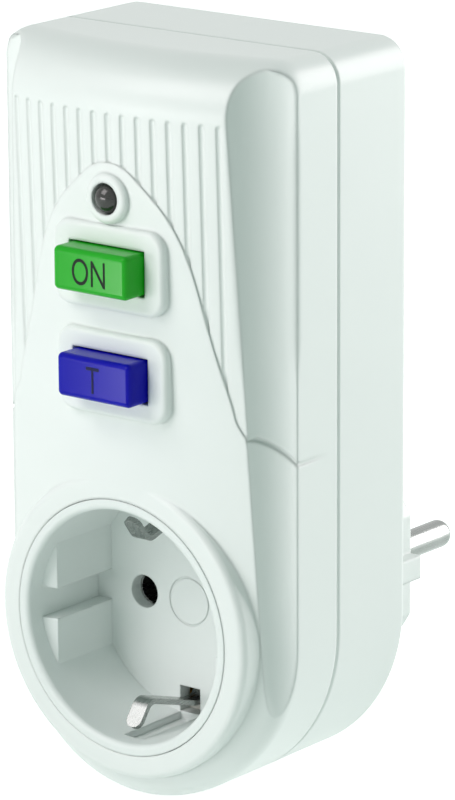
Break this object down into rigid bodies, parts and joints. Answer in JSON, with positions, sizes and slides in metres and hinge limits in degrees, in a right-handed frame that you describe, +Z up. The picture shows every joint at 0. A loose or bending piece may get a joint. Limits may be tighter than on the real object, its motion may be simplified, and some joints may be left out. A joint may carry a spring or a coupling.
{
  "type": "residual current adapter plug",
  "caption": "Upright wall adapter plug with an earthed round socket, a push-on button, a test button and an indicator over a residual-current trip.",
  "frame": {"origin": "centre of the plug's engagement face, midway between its pins", "axes": "+X to the right seen from the front, +Y back into the wall socket, +Z up"},
  "size_m": [0.059, 0.0826, 0.1238],
  "materials": {
    "cover_plastic": "satin moulded white plastic",
    "housing_plastic": "satin moulded white plastic",
    "insert_plastic": "satin moulded white plastic",
    "inner_plastic": "matt natural plastic",
    "green_button": "glossy green plastic",
    "blue_button": "glossy dark blue plastic",
    "indicator_lens": "smoked clear lens",
    "plated_metal": "nickel-plated",
    "brass": "plain stamped",
    "spring_steel": "drawn wire and strip",
    "relay_steel": "zinc-plated",
    "board_laminate": "green glass-epoxy board",
    "ferrite": "dark ferrite",
    "copper_winding": "enamelled copper wire",
    "capacitor_case": "moulded yellow case",
    "varistor_coating": "dipped epoxy",
    "chip_epoxy": "black epoxy"
  },
  "bodies": {
    "housing": {"front_cover": "cover_plastic", "rear_housing": "housing_plastic", "socket_insert": "insert_plastic", "button_frame": "inner_plastic", "on_button_spring": "spring_steel", "test_button_spring": "spring_steel", "led": "indicator_lens", "led_leads": "plated_metal", "neutral_pin": "plated_metal", "line_pin": "plated_metal", "pin_retainer": "inner_plastic", "plug_earth_contact_upper": "plated_metal", "plug_earth_contact_lower": "plated_metal", "socket_earth_clip_upper": "plated_metal", "socket_earth_clip_lower": "plated_metal", "earth_strap": "brass", "contact_holder": "inner_plastic", "neutral_socket_contact": "plated_metal", "line_socket_contact": "plated_metal", "neutral_load_bar": "brass", "line_load_bar": "brass", "neutral_supply_bar": "brass", "line_supply_bar": "brass", "circuit_board": "board_laminate", "transformer_core": "ferrite", "transformer_winding": "copper_winding", "mechanism_base": "inner_plastic", "fixed_contacts": "brass", "carrier_spring": "spring_steel", "relay_frame": "relay_steel", "relay_bobbin": "inner_plastic", "relay_coil": "copper_winding", "plunger_spring": "spring_steel", "test_blade": "spring_steel", "test_contact": "brass", "filter_capacitor": "capacitor_case", "varistor": "varistor_coating", "control_chip": "chip_epoxy", "test_resistor": "chip_epoxy", "rectifier_diodes": "chip_epoxy", "housing_screws": "relay_steel", "frame_screws": "relay_steel", "board_screws": "relay_steel"},
    "on_button": {"on_button": "green_button"},
    "contact_carrier": {"contact_carrier": "inner_plastic", "moving_contacts": "brass"},
    "test_button": {"test_button": "blue_button"},
    "trip_plunger": {"trip_plunger": "relay_steel"}
  },
  "joints": [
    {"name": "on_button_press", "type": "slide", "parent": "housing", "child": "on_button", "axis": [0, 1, 0], "range_m": [0, 0.0025], "stiffness_N_per_m": 600, "springref_m": -0.002, "deforming": ["on_button_spring"]},
    {"name": "carrier_travel", "type": "slide", "parent": "housing", "child": "contact_carrier", "axis": [0, 1, 0], "range_m": [0, 0.0025], "stiffness_N_per_m": 400, "springref_m": -0.002, "deforming": ["carrier_spring"]},
    {"name": "test_button_press", "type": "slide", "parent": "housing", "child": "test_button", "axis": [0, 1, 0], "range_m": [0, 0.0018], "stiffness_N_per_m": 600, "springref_m": -0.002, "deforming": ["test_button_spring", "test_blade"]},
    {"name": "trip_plunger_pull", "type": "slide", "parent": "housing", "child": "trip_plunger", "axis": [0, 0, 1], "range_m": [0, 0.0015], "stiffness_N_per_m": 300, "springref_m": -0.002, "deforming": ["plunger_spring"]}
  ],
  "couplings": [
    {"joint": "carrier_travel", "follows": "on_button_press", "ratio": 1}
  ]
}
